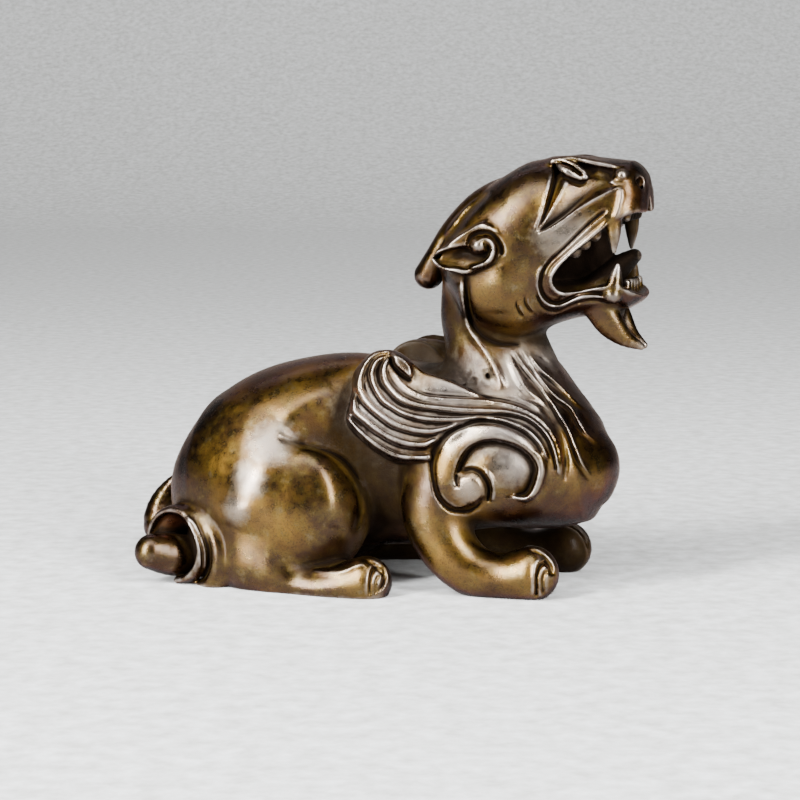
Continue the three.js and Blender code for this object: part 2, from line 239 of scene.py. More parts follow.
class Drawing:
    """A height in mm for each place of an upright plane beside the beast, drawn as the eye sees the beast on it."""

    def __init__(self, plane, grain):
        self.plane = plane
        self.grain = grain
        self.x = np.arange(-44, 46, grain)[:, None]
        self.z = np.arange(-6, 66, grain)[None, :]
        self.height = np.zeros((self.x.size, self.z.size), np.float32)

    def near(self, points, margin):
        """The part of the drawing round some points, and its places."""
        points = np.array(points, float)[:, :2]
        low, high = points.min(0) - margin, points.max(0) + margin
        across = slice(*np.searchsorted(self.x[:, 0], [low[0], high[0]]))
        up = slice(*np.searchsorted(self.z[0], [low[1], high[1]]))
        return (across, up), self.x[across], self.z[:, up]

    def line(self, points, height, width, fade=0.12):
        """A raised line, or a groove where the height is negative, that fades out towards its ends."""
        curve = flowing(points)
        pick, x, z = self.near(curve, 3 * width)
        away, share = line_reach(curve, x, z)
        ends = np.clip(np.minimum(share, 1 - share) / fade, 0, 1) if fade else 1.0
        self.height[pick] += height * np.sqrt(ends) * np.exp(-(away / width) ** 2)

    def ribbon(self, points, height, edge=0.3, dome=0.3):
        """A raised ribbon through (x, z, half width), domed across and with steep edges."""
        curve = flowing(points)
        pick, x, z = self.near(curve, curve[:, 2].max() + edge)
        away, share = line_reach(curve, x, z)
        lengths = np.linalg.norm(np.diff(curve[:, :2], axis=0), axis=1)
        run = np.concatenate([[0], np.cumsum(lengths)]) / lengths.sum()
        half = np.interp(share, run, curve[:, 2])
        rise = eased((half - away) / edge + 0.5)
        across = np.clip(away / np.maximum(half, 0.05), 0, 1)
        raised = height * rise * (1 - dome * across ** 2)
        old = self.height[pick]
        self.height[pick] = np.where(rise > 0, np.maximum(old, raised), old)

    def field(self, outline, height, edge=0.3, bend=True):
        """A raised field inside a closed outline, or a sunken one, with its edge eased over `edge`."""
        outline = flowing(outline, closed=True) if bend else np.array(outline, float)
        pick, x, z = self.near(outline, edge)
        inside = -outline_reach(outline, x, z)
        self.height[pick] += height * eased(inside / edge + 0.5)

    def strip(self, first, second, profile, full=0.9):
        """A band between two curves; its cross-section is rows of (share of the way across, height)."""
        first, second = flowing(first), flowing(second)
        outline = np.vstack([first, second[::-1]])
        pick, x, z = self.near(outline, 0)
        inside = outline_reach(outline, x, z) < 0
        from_first, _ = line_reach(first, x, z)
        from_second, _ = line_reach(second, x, z)
        width = from_first + from_second
        shares, heights = np.array(profile).T
        rise = np.interp(from_first / np.maximum(width, 1e-6), shares, heights)
        self.height[pick] += np.where(inside, rise * np.clip(width / full, 0, 1), 0)

    def seen_at(self, field, x, y, z):
        """A drawn field's values at places in the wax, looked up where the eye sees them on the drawing."""
        block = np.empty((x.size, y.size, z.size), np.float32)
        for number, depth in enumerate(y.ravel()):
            away = (self.plane - EYE[1]) / (depth - EYE[1])
            across = (EYE[0] + (x.ravel() - EYE[0]) * away - self.x[0, 0]) / self.grain
            up = (EYE[2] + (z.ravel() - EYE[2]) * away - self.z[0, 0]) / self.grain
            block[:, number] = read_grid(field, across, up)
        return block

    def plate(self, outline, near_y, far_y, edge=0.4):
        """A slab with the drawn outline, between two depths."""
        outline = flowing(outline, closed=True)
        pick, x, z = self.near(outline, FAR)
        reach = np.full(self.height.shape, FAR, np.float32)
        reach[pick] = outline_reach(outline, x, z)
        middle, half = (near_y + far_y) / 2, abs(far_y - near_y) / 2

        def distance(x, y, z, grain):
            one = self.seen_at(reach, x, y, z)
            other = np.abs(y - middle) - half
            soft = np.maximum(edge - np.abs(one - other), 0) / edge
            return np.maximum(one, other) + soft * soft * edge / 4

        slope = math.tan(TURN) * half + 1
        low = (outline[:, 0].min() - slope - 2, middle - half, outline[:, 1].min() - 2)
        high = (outline[:, 0].max() + slope, middle + half, outline[:, 1].max() + 2)
        return Form(distance, low, high)


def read_grid(field, across, up):
    """A flat grid's values, in between its places too."""
    left = np.clip(np.floor(across).astype(int), 0, field.shape[0] - 2)
    below = np.clip(np.floor(up).astype(int), 0, field.shape[1] - 2)
    right_share = (across - left)[:, None]
    upper_share = (up - below)[None, :]
    columns = field[left] * (1 - right_share) + field[left + 1] * right_share
    return columns[:, below] * (1 - upper_share) + columns[:, below + 1] * upper_share


# The wax

class Wax:
    """The beast's right half in grains. Its left half is the same, mirrored."""

    def __init__(self, low, high, grain):
        self.grain = grain
        self.axes = [np.arange(round((top - bottom) / grain) + 1) * grain + bottom for bottom, top in zip(low, high)]
        self.axes[1] -= self.axes[1][-1]
        self.skin = np.full([len(axis) for axis in self.axes], FAR, np.float32)
        self.uncut = self.skin

    def window(self, low, high, margin):
        """The part of the block between two corners, and its grains' places."""
        pick, places = [], []
        for axis, bottom, top in zip(self.axes, low, high):
            first, last = np.searchsorted(axis, [bottom - margin, top + margin])
            pick.append(slice(first, last))
            places.append(axis[first:last])
        return tuple(pick), np.meshgrid(*places, indexing="ij", sparse=True)

    def add(self, form, blend=0.5):
        """Presses a form on, with a soft join that is `blend` wide; a function of X makes the join vary."""
        pick, (x, y, z) = self.window(form.low, form.high, FAR)
        away = np.minimum(form.distance(x, y, z, self.grain), FAR).astype(np.float32)
        old = self.skin[pick]
        width = blend(x) if callable(blend) else blend
        soft = np.maximum(width - np.abs(old - away), 0) / width
        self.skin[pick] = np.minimum(old, away) - soft * soft * width / 4

    def cut(self, form, blend=0.3):
        """Takes a form away, with an edge that is rounded over `blend`."""
        pick, (x, y, z) = self.window(form.low, form.high, blend + 2 * self.grain)
        away = -form.distance(x, y, z, self.grain).astype(np.float32)
        old = self.skin[pick]
        soft = np.maximum(blend - np.abs(old - away), 0) / blend
        self.skin[pick] = np.maximum(old, away) + soft * soft * blend / 4

    def carve(self, drawing, low, high):
        """Lifts the skin that looks sideways by the drawing's height, between two corners."""
        pick, (x, y, z) = self.window(low, high, 0)
        block = self.skin[pick]
        sideways = -np.gradient(block, self.grain, axis=1)
        weight = np.clip((sideways - 0.05) / 0.3, 0, 1)
        self.skin[pick] = block - weight * drawing.seen_at(drawing.height, x, y, z)

    def smooth(self, reach):
        """Melts the skin over a distance of about `reach`."""
        for _ in range(max(1, round(2 * (reach / self.grain) ** 2))):
            for axis in range(3):
                edges = [(1, 1) if axis == each else (0, 0) for each in range(3)]
                wider = np.pad(self.skin, edges, mode="reflect")
                count = self.skin.shape[axis]
                lower = np.take(wider, range(count), axis)
                upper = np.take(wider, range(2, count + 2), axis)
                self.skin = 0.5 * self.skin + 0.25 * (lower + upper)

    def whole(self, half):
        """The block of both sides, from a block of the right one."""
        return np.clip(np.concatenate([half, half[:, -2::-1]], axis=1), -FAR, FAR)


# The body

def model_body(wax):
    """The barrel of the body from the rump to the breast, and the neck that rises from it."""
    wax.add(barrel([
        (-31.3, 9, 14.6, 4), (-30.3, 5.5, 17.8, 8.5), (-27.6, 3, 22.2, 12), (-24, 1.6, 25.9, 14), (-19, 1.5, 28.7, 15),
        (-13, 2.4, 30.4, 14.4), (-7, 3.6, 31.2, 12), (-1, 4.4, 30.9, 9.8), (5, 5, 30.1, 9.8), (11, 7, 29.6, 11.4),
        (17, 8.6, 29, 11.8), (21.5, 8.8, 27.2, 11), (25.4, 9.5, 24, 9), (27.8, 11.4, 20.4, 5.8), (28.9, 13.6, 17.8, 2.8),
    ]), 1)
    wax.add(egg((23.2, 0, 15.8), (8.7, 9.4, 7.2), 12), 3)
    wax.add(barrel([
        (9, 14, 19, 2), (13, 10, 24, 6), (18, 7.4, 28.4, 10), (24, 8, 27.2, 10.2), (29, 8.2, 24.2, 8.8), (33, 7.6, 22, 7),
        (37, 6.9, 20.8, 6.3), (43, 7.2, 22, 6.2),
    ], level=True), 3)


def model_haunch(wax):
    """The haunch runs smoothly into the rump behind, and stands off the flank in front."""
    wax.add(egg((-11.8, -9.6, 10.6), (11, 8.8, 10.8)), lambda x: np.interp(x, [-17, -10], [6, 0.7]))
    wax.add(limb([(-20, -9.6, 3, 5.4, 4.6), (-14, -12, 2.4, 5.4, 4), (-8, -13.6, 1, 4.4, 2.8),
                  (-3.4, -14.4, 1.2, 4.1, 3), (0.6, -15, 1.9, 3.5, 3.5)]), lambda x: np.interp(x, [-12, -7], [5, 0.6]))


def model_foreleg(wax):
    """The shoulder, the elbow that points back, and the forearm that lies along the ground to the paw."""
    wax.add(egg((16.5, -6.5, 18), (10.5, 7.4, 8.6)), 2.5)
    wax.add(limb([(11.8, -8.4, 18, 5.2, 7.8), (9, -9.4, 12, 4.4, 5.3), (10, -9.9, 7.2, 3.9, 4.2),
                  (13.6, -10, 3.4, 3.6, 3.6), (18.2, -10, 2.6, 3.4, 3.2), (22.3, -10, 3.3, 3.7, 3.8)]), 1.2)


def cut_toes(wax):
    """Grooves run over the front of each paw and part three toes."""
    for x, y, top, reach in ((22.4, -10, 6, 3.8), (0.8, -15, 4.6, 3.6)):
        for aside in (-1.3, 1.1):
            wax.cut(limb([(x, y + aside, top + 1, 0.25, 0.35), (x + reach * 0.85, y + aside, top - 1.6, 0.3, 0.35),
                          (x + reach * 1.02, y + aside, top / 3, 0.3, 0.35), (x + reach, y + aside, 0, 0.3, 0.35)]), 0.35)


def draw_haunch(haunch):
    """A crease runs over the haunch and down its front, and from its start soft ridges run down, up and forward."""
    haunch.line([(-12.4, 21), (-8.5, 20), (-6, 19.4), (-4, 18.7), (-2.3, 17.5), (-0.9, 15.2), (-0.4, 12.6),
                 (-0.6, 10.4), (-1.6, 8.4)], -0.65, 0.4, fade=0.45)
    haunch.line([(-11, 22), (-13.5, 18.5), (-14.8, 16.4), (-16.2, 13.8), (-17.7, 10.9), (-18.6, 8)], 0.75, 2.6, fade=0.4)
    haunch.line([(-12, 21.4), (-10.5, 24), (-9.2, 25.3), (-7, 26.8), (-4.5, 27.9)], 0.35, 1.6, fade=0.3)
    haunch.line([(-9.2, 19.4), (-6.6, 17.6), (-5, 14.8), (-4.6, 12), (-5.2, 9)], 0.5, 2, fade=0.3)


# The wing

WING_OUTLINE = [
    (4.4, 33), (3.4, 33.2), (2.6, 33.2), (1.4, 33), (0.1, 32.3), (-0.9, 31.2), (-1.6, 30), (-1.9, 28.6), (-1.9, 27),
    (-2.3, 25.8), (-2.5, 24.6), (-2.9, 23.6), (-2.5, 22.8), (-1.8, 21.9), (0.5, 19.9), (3.2, 18.3), (6, 17.9),
    (9, 18.1), (14, 18.6), (20, 19.6), (25, 19.5), (24.6, 22), (20, 25.5), (16, 27.4), (12, 29.2), (8, 30.4),
    (6.6, 31.2), (5.6, 32.3),
]

# The grooves between the feathers, from the upper edge of the wing to its lower one
FEATHER_GROOVES = [
    [(3.5, 31.6), (3.6, 30.7), (4, 29.9), (4.6, 29), (5.5, 28.2), (6.5, 27.6), (7.8, 27.1), (9.2, 26.9), (12.7, 26.8),
     (15.5, 26.8), (18, 26.7), (21, 26.1), (23.4, 25), (25.2, 23.4), (26.4, 21.2), (26.9, 18.8), (26.8, 16.8)],
    [(2.9, 32.2), (2.1, 31.3), (1.8, 30.4), (1.8, 29.6), (2, 28.7), (2.8, 27.6), (3.8, 26.6), (5, 25.9), (6.8, 25.4),
     (8.9, 25.2), (12.7, 24.9), (16, 24.9), (19, 25.1), (21.6, 24.7), (23.3, 23.8), (24.8, 22.3), (25.6, 20.7),
     (26, 19.2), (26.3, 17.8)],
    [(3, 32.5), (1.9, 32.3), (1.1, 31.8), (0.5, 30.9), (0.2, 29.7), (0.5, 28.5), (1, 27.4), (2, 26), (3.5, 25.1),
     (4.8, 24.4), (6.4, 23.9), (8.2, 23.6), (9.9, 23.6), (12.5, 23.8), (15.5, 24.3), (18.4, 24.1), (20.2, 23.5),
     (21.6, 22.9), (22.8, 22), (23.7, 21), (24.3, 20)],
    [(3.5, 33), (2.8, 33.1), (1.5, 32.9), (0.2, 32.2), (-0.7, 31.2), (-1.3, 30.1), (-1.7, 29), (-1.8, 27.9),
     (-1.5, 27), (-0.8, 25.9), (0.4, 24.8), (2.4, 23.3), (3.6, 22.6), (5, 22.2), (6.4, 21.9), (7.8, 21.8), (9.2, 21.9),
     (10.3, 22.2), (11.7, 22.8), (13, 23.6)],
    [(-1.9, 26.9), (-2.3, 25.7), (-2.4, 24.7), (-1.8, 23.9), (-0.4, 22.9), (0.6, 22.1), (2, 21.3), (3.3, 20.6),
     (4.7, 20.1), (6.1, 19.9), (7.5, 19.9), (8.6, 20.1), (9.4, 20.8)],
    [(-2.4, 24.6), (-2.8, 23.6), (-2.4, 22.9), (-1.7, 22), (-0.6, 21), (0.6, 20), (2, 19.1), (3.3, 18.5), (4.5, 18.2),
     (6.1, 18.1), (7.5, 18.2), (8.9, 18.3)],
]

# Across a feather: a dark groove, a hollow channel, and a rod that is rounded over and drops to the next groove
FEATHER = [(0, -0.35), (0.07, -0.1), (0.16, 0.12), (0.32, 0.08), (0.44, 0.2), (0.52, 0.62), (0.6, 0.74), (0.74, 0.8),
           (0.86, 0.68), (0.93, 0.4), (1, -0.35)]


def model_wing(wax, flank):
    """The wing is a thin cushion over the flank, whose tip stands clear of the back."""
    outline = flank.plate(WING_OUTLINE, -18, -6.5, 0.4)
    wax.add(overlap(outline, egg((5, -5, 23.4), (17, 9.2, 10.4))), 0.25)
    wax.add(overlap(outline, egg((2.2, -11.2, 28.6), (5, 1.5, 4.6))), 0.8)


def draw_feathers(flank):
    """Long feathers sweep back from the breast over the shoulder and turn up to the wing's tip."""
    for upper, lower in zip(FEATHER_GROOVES[:-1], FEATHER_GROOVES[1:]):
        flank.strip(upper, lower, FEATHER)
    flank.line(FEATHER_GROOVES[0], 0.5, 0.2, fade=0.06)
    flank.line([(x + 0.35, z + 0.45) for x, z in FEATHER_GROOVES[0][5:13]], -0.3, 0.25)
    hook = [(3.4, 32.6), (4, 32.7), (4.7, 32.5), (5.5, 32), (6.2, 31.2), (6.4, 30.3), (6.1, 29.5), (5.2, 30.1),
            (4.3, 30.8), (3.7, 31.5)]
    flank.field(hook, 1.1, 0.45)
    flank.line([(3.5, 32.3), (3.5, 31.7), (3.9, 30.8), (4.7, 30), (5.5, 29.5), (6.2, 29.1)], -0.9, 0.25, fade=0.05)


# The shoulder

def draw_scroll(shoulder):
    """A broad ribbon curls round a bowl on the shoulder: a pointed hook at one end, a ball at the other."""
    rim = [(12.2, 15.4), (12.2, 17), (12.6, 18), (13.3, 19.2), (13.9, 20.3), (14.5, 20.9), (15.9, 21.4), (17.6, 21.5),
           (19.3, 21.3), (20.7, 20.9), (21.7, 20.3), (22.7, 19.4), (23.3, 18.4), (23.3, 17.2), (22.9, 16),
           (22.3, 14.8), (21.5, 14.2), (20.4, 14)]
    foot = [(12.6, 15.6), (14, 17.2), (16, 16.8), (17.2, 15.4), (18, 14), (19, 13.6), (20.2, 13.9)]
    shoulder.strip(rim, foot, [(0, -0.9), (0.06, -1.05), (0.3, -0.75), (0.7, -0.3), (1, 0)])
    shoulder.ribbon([(20.5, 13.8, 0.05), (21.8, 13.7, 0.25), (23, 14.6, 0.45), (23.7, 16.2, 0.55), (24, 18, 0.6),
                     (23.3, 19.8, 0.75), (21.4, 21.5, 0.9), (18.4, 22.5, 1.05), (15.3, 22.4, 1.2), (12.6, 21, 1.4),
                     (11, 18.6, 1.55), (10.7, 16.2, 1.45), (11.3, 14.3, 1.5), (12.6, 13.6, 1.7)], 0.7, 0.35, 0.25)
    shoulder.ribbon([(13.6, 14.5, 2.1), (14.1, 14.5, 2.1)], 0.95, 1.2, 0.45)
    shoulder.line([(12.2, 16.6), (12.3, 15.4), (12.5, 14.8)], -0.5, 0.2)
    shoulder.line([(13, 17), (14.3, 17.4), (15.4, 17.1), (16.1, 16.4), (16.7, 15.4), (16.8, 14.3), (16.6, 13)],
                  -0.75, 0.28)
    shoulder.line([(16.2, 17.4), (17.1, 16.2), (17.4, 14.8), (17.2, 13.2)], 0.3, 0.3)
    shoulder.line([(17.6, 24), (15.2, 23.9), (13.7, 23.4), (11.9, 22.6), (10.6, 21.7), (9.5, 20.5), (8.9, 19.1),
                   (8.8, 17.4), (9.1, 15.7), (9.5, 14), (10.1, 12.9), (11.2, 11.9), (12.6, 11.6), (14, 11.7),
                   (15.2, 12.5), (16.1, 13.5)], -0.55, 0.28, fade=0.05)


def draw_flutes(breast):
    """Flutes run down the neck and round the breast: fine ridges with a dark groove along the left of each."""
    ridges = [
        [(19.3, 33.2), (21.1, 30.8), (23, 28.7), (24.3, 26.9), (25.7, 24.7), (26.9, 22.8), (27.8, 20.6), (28.7, 18.6),
         (30.1, 16.4)],
        [(20.4, 33.3), (22, 31.1), (23.4, 29.1), (25, 27.3), (27.1, 25.9), (28.2, 24.2), (29.4, 22.4), (31, 21.3)],
        [(21.5, 32.8), (22.9, 30.9), (24.8, 29.4), (26.6, 27.9), (28.2, 26.4), (29.3, 25.8), (30.5, 25.4)],
    ]
    for ridge in ridges:
        breast.line(ridge, 0.32, 0.2, fade=0.2)
        breast.line([(x - 0.4, z - 0.25) for x, z in ridge], -0.4, 0.26, fade=0.2)
    breast.line([(21.6, 33), (23.2, 32.2), (24.8, 31), (26.4, 29.4)], -0.5, 0.35, fade=0.3)
    breast.line([(18.6, 33.6), (19.4, 31), (20.4, 29), (22, 27.2), (23.8, 25.6)], 0.4, 0.7, fade=0.3)
    breast.line([(20, 27.4), (22.6, 26.4), (24.4, 24.8), (25.6, 22.8), (26.3, 20.6), (26.5, 18.4), (26.3, 15.8)],
                -0.35, 0.4, fade=0.2)
    breast.line([(11.9, 42), (12, 40.5), (12.1, 39), (12.4, 37.4), (13.1, 36), (14.3, 34.4), (15.4, 33), (16.4, 31.5),
                 (17.2, 29.9), (18, 28)], 0.5, 0.7, fade=0.1)
    chance = random.Random(4)
    for _ in range(16):
        x, z = chance.uniform(11.5, 16), chance.uniform(28.2, 30.8)
        breast.line([(x, z), (x + chance.uniform(0.1, 0.4), z)], chance.uniform(-0.35, -0.1), 0.14, fade=0)
    breast.line([(15.7, 29.8), (15.8, 29.5)], -1, 0.2, fade=0)


def draw_toes(shoulder, heel):
    """Upright hoops on the side of each paw mark its outer toes."""
    shoulder.line([(23.4, 0.6), (23.4, 2.8), (23.7, 4.4), (24.4, 5.2), (25.1, 4.9), (25.5, 3.6)], -0.6, 0.2, fade=0.05)
    shoulder.line([(24.3, 1), (24.2, 2.8), (24.5, 3.9), (25, 4)], -0.5, 0.18, fade=0.1)
    shoulder.line([(23, 1), (23, 3), (23.2, 4.9), (24, 5.9)], 0.25, 0.25)
    heel.line([(1.7, 0.3), (1.7, 2), (2, 3.6), (2.7, 4.4), (3.5, 4.3), (3.8, 3.3), (3.5, 2.1), (2.8, 1)], -0.6, 0.2)
    heel.line([(2.5, 0.6), (2.4, 1.8), (2.7, 2.9), (3.2, 3)], -0.4, 0.18)
    heel.line([(3.9, 4.4), (4.3, 5), (4.8, 4.4), (4.8, 3)], -0.5, 0.2)
    heel.line([(-6.8, 3.4), (-5, 3.35), (-3, 3.4), (-1.6, 3.8), (-0.4, 4.4), (1.2, 4.8)], 0.35, 0.5)


# The head

def model_skull(wax):
    """The cranium with its round cheeks, and the blunt muzzle."""
    wax.add(barrel([
        (7, 43, 47.6, 3), (8.6, 40.4, 50, 6), (11, 37.2, 52.4, 8.8), (13.5, 34.6, 54.5, 10), (16.5, 33.5, 56.5, 10.4),
        (19.5, 33.8, 58.1, 10.3), (22.5, 35.8, 58.5, 9.8), (26, 37, 58.6, 8.8), (30, 37.8, 58, 7.6), (33, 39, 57, 5.5),
    ], 2.4), 0.6)
    wax.add(barrel([
        (19, 39, 55, 8), (23, 38, 57, 8.8), (28, 38, 57.8, 8), (31.5, 38.4, 58, 7.3), (33.4, 38.7, 57.8, 7),
        (34.6, 39.3, 57.3, 6.2), (35.4, 40.2, 56.2, 4.8), (35.8, 42, 54.6, 2.6),
    ], 3), 1)


MOUTH_OUTLINE = [
    (24.1, 42.8), (24.9, 44.2), (25.8, 45.2), (27.2, 46.5), (28.9, 47.8), (30.4, 49.1), (31.8, 50.2), (33.2, 50.9),
    (35.4, 51.7), (38, 51.4), (42, 50.4), (42, 40.8), (37, 40.9), (34, 41.6), (32, 42), (30.8, 41.8), (28.9, 41.4),
    (27, 41), (25.4, 41), (24.4, 41.7),
]


def model_mouth(wax, cheek):
    """The jaws gape from side to side round a throat, a curled tongue and four fangs."""
    wax.cut(cheek.plate(MOUTH_OUTLINE, -14, 3, 0.3), 0.4)
    wax.add(limb([(18, 0, 45, 3, 5.5), (24, 0, 45.6, 3.2, 4.8), (28.2, 0, 46.6, 2.6, 3.2)]), 1)
    wax.add(limb([(22, 0, 41, 4.6, 1.2), (27, 0, 41, 4.4, 1.5), (30, 0, 42.4, 3.8, 1.8), (32, 0, 44.3, 3.1, 1.5),
                  (33.6, 0, 45.5, 2.6, 1)]), 0.8)
    wax.add(limb([(32, -5.9, 52, 1, 1.1), (32.1, -5.9, 49, 0.9, 0.95), (32.1, -5.7, 46.3, 0.25, 0.3)]), 0.5)
    wax.add(limb([(32, -5.7, 40.8, 1.3, 1.3), (32.3, -5.6, 42.8, 0.85, 0.95), (32.6, -5.4, 44.6, 0.3, 0.35)]), 0.5)
    for y in (-3.8, -1.9, 0):
        wax.add(limb([(33.4, y, 40.4, 0.9, 0.8), (33.6, y, 42.2, 0.6, 0.5)]), 0.3)
        wax.add(limb([(33.3, y, 52.8, 0.9, 0.8), (33.4, y, 50.8, 0.6, 0.5)]), 0.3)
    for x, z in ((30.4, 48.6), (29, 47.4), (27.7, 46.3)):
        wax.add(egg((x - 0.9, -5.4, z), (0.8, 0.9, 0.9)), 0.3)


def draw_lips(cheek):
    """Round the mouth lie a rounded lip, a hollow band, a ridge and a fine outer groove, and behind it the cheek swells."""
    lip = [(31.6, 50), (29.4, 48.2), (27, 46.1), (25, 44.4), (24.1, 43.1), (24.1, 41.9), (24.9, 40.8), (26.2, 40.8),
           (28.3, 41.2), (30.4, 41.6), (32, 41.6)]
    cheek.line(lip, 0.3, 0.3, fade=0.03)
    cheek.line([(31.2, 50.8), (29.4, 49.3), (27.3, 47.4), (25.5, 45.8), (24, 44.4), (23.3, 43)], -0.45, 0.16)
    cheek.line([(31.3, 52), (29.4, 50.5), (27.6, 48.8), (26, 47.2), (24, 45.3), (22.9, 43.9), (22.5, 42.6),
                (22.5, 41.5), (23, 40.4), (24, 39.7), (24.9, 39.6), (25.7, 39.8), (26.8, 40.4), (28.1, 40.9),
                (29.9, 41), (31.1, 40.8), (32.3, 40.5)], -0.65, 0.22, fade=0.04)
    cheek.line([(23.2, 43.2), (23.1, 41.8), (23.7, 40.7), (24.8, 40.3)], -0.35, 0.4, fade=0.2)
    cheek.line([(23.4, 45.2), (22.5, 44), (22.1, 42.8), (22.1, 41.4), (22.5, 40.2), (23.4, 39.3), (24.4, 39),
                (25.5, 39.2), (26.6, 39.7), (28.2, 40.3), (30.2, 40.5), (31.6, 40.2), (32.8, 39.9)], 0.35, 0.2)
    cheek.line([(22, 41.6), (22, 40.4), (22.6, 39.2), (23.3, 38.6), (24.3, 38.4), (25.2, 38.6), (26.4, 39.2),
                (28.1, 39.8), (30.2, 40), (32.2, 39.5)], -0.45, 0.15)
    for crescent in ([(19.2, 39.9), (19.2, 38.8), (20, 37.4)], [(20.3, 40.5), (20.4, 39.2), (21.4, 37.9)]):
        cheek.line(crescent, -0.45, 0.16, fade=0.3)
        cheek.line([(x + 0.35, z) for x, z in crescent], 0.15, 0.16, fade=0.3)
    cheek.line([(16, 44.4), (16.5, 42.4), (16.8, 40.4), (16.9, 38)], 0.4, 2, fade=0.4)


def draw_eye(cheek):
    """The socket is a wedge that runs down the cheek to a point, with a ridged cone in it that carries the eye."""
    back_edge = [(21.8, 48.8), (22.5, 50.4), (23.2, 52.9), (23.7, 55), (24, 56.6), (24, 57.7), (24.1, 58.7)]
    gutter = [(21.9, 48.75), (22.9, 49.5), (25.5, 51.2), (27.4, 52.9), (29.4, 54.6), (31.2, 55.6), (32.1, 56.2),
              (32.3, 57.8)]
    ridge = [(22, 48.7), (24, 49.6), (26, 51), (27.4, 52), (29.4, 53.2), (31.8, 54.5), (33, 55)]
    cheek.strip(back_edge, gutter, [(0, 0), (0.04, -0.8), (0.09, -1.15), (0.15, -1), (0.2, -0.6), (0.38, 0.05),
                                    (0.42, 0.05), (0.47, -0.15), (0.9, -1), (1, -1.25)])
    cheek.strip(gutter[:-2], ridge, [(0, -1.25), (0.15, -1.05), (0.8, -0.25), (1, 0)], 0.4)
    cap = [(24.5, 57), (25.1, 56.4), (26, 55.8), (27.3, 55.2), (28.2, 55.3), (29.1, 56.2), (30, 57.6), (28, 59.4),
           (24.6, 59.4)]
    cheek.field(cap, -0.45, 0.2)
    cheek.line(ridge, 0.3, 0.22, fade=0.03)
    cheek.line([(21.5, 48.9), (22.2, 50.4), (22.9, 52.9), (23.4, 55), (23.7, 56.6)], 0.15, 0.2, fade=0.1)
    cheek.line([(33, 55.1), (33.35, 54), (33.1, 52.8), (32.8, 51.7), (32.3, 50.8)], 0.3, 0.4)


def model_eye_and_nose(wax):
    """The eyes look up from under the brow; the nose ends in two nostrils over a cleft lip."""
    wax.add(limb([(23.4, -4.6, 58.2, 0.9, 0.5), (26, -4, 58.6, 1.2, 0.45), (29, -3, 58, 1.2, 0.5),
                  (32.4, -2.6, 57.4, 1.4, 0.5)]), 0.5)
    wax.add(limb([(24.3, -5.3, 57.8, 0.4, 0.3), (25.8, -5.8, 56.9, 1, 0.7), (27.5, -5.6, 56, 0.5, 0.35)]), 0.15)
    wax.add(limb([(24.6, -4.8, 58.5, 0.6, 0.25), (26.4, -5.1, 57.9, 0.8, 0.3), (28, -5.3, 56.7, 0.5, 0.3)]), 0.15)
    wax.add(egg((28.1, -5.4, 56.2), (0.5, 0.6, 0.5)), 0.15)
    wax.add(limb([(23, 0, 57.2, 4, 1.5), (28, 0, 57.3, 2.6, 1.4), (33, 0, 56.6, 3.4, 1.6)]), 1)
    wax.cut(limb([(28.9, -5.2, 56.9, 1.1, 0.5), (30.2, -5.4, 56.5, 1.4, 0.6), (31.2, -5.2, 56.2, 0.9, 0.4)]), 0.4)
    wax.add(egg((32.9, -4.9, 56.4), (0.95, 1.1, 0.95)), 0.3)
    wax.cut(egg((34.8, -3, 55.6), (1.2, 0.8, 0.6)), 0.4)
    wax.cut(limb([(34.9, -4.4, 56.6, 0.35, 0.35), (35, -3.6, 54.9, 0.35, 0.35), (35, -2.4, 54.7, 0.3, 0.3)]), 0.3)
    wax.cut(limb([(35.2, 0, 50.2, 2.4, 1.2), (35.2, 0, 51.8, 1.3, 1), (35, 0, 53.6, 0.25, 0.5)]), 0.25)
    wax.cut(limb([(35.1, 0, 53.4, 0.2, 0.3), (35.1, 0, 55.4, 0.2, 0.3)]), 0.3)


def model_ear(wax, cheek):
    """The ear lies back along the head like a leaf; its hollow below and the curl at its root are drawn on it later."""
    outline = [(7.3, 45.1), (8.2, 46.2), (9.4, 47.1), (11, 48.1), (12.6, 49.1), (14.2, 49.8), (15.6, 49.8),
               (16.8, 48.2), (16.9, 46.2), (16, 44.8), (14.2, 43.8), (12.1, 43), (10.5, 43.3), (8.5, 43.8),
               (7.6, 44.4)]
    wax.add(overlap(cheek.plate(outline, -14, -7, 0.4), egg((11.8, -9.2, 46.6), (6.6, 2.9, 6))), 0.5)


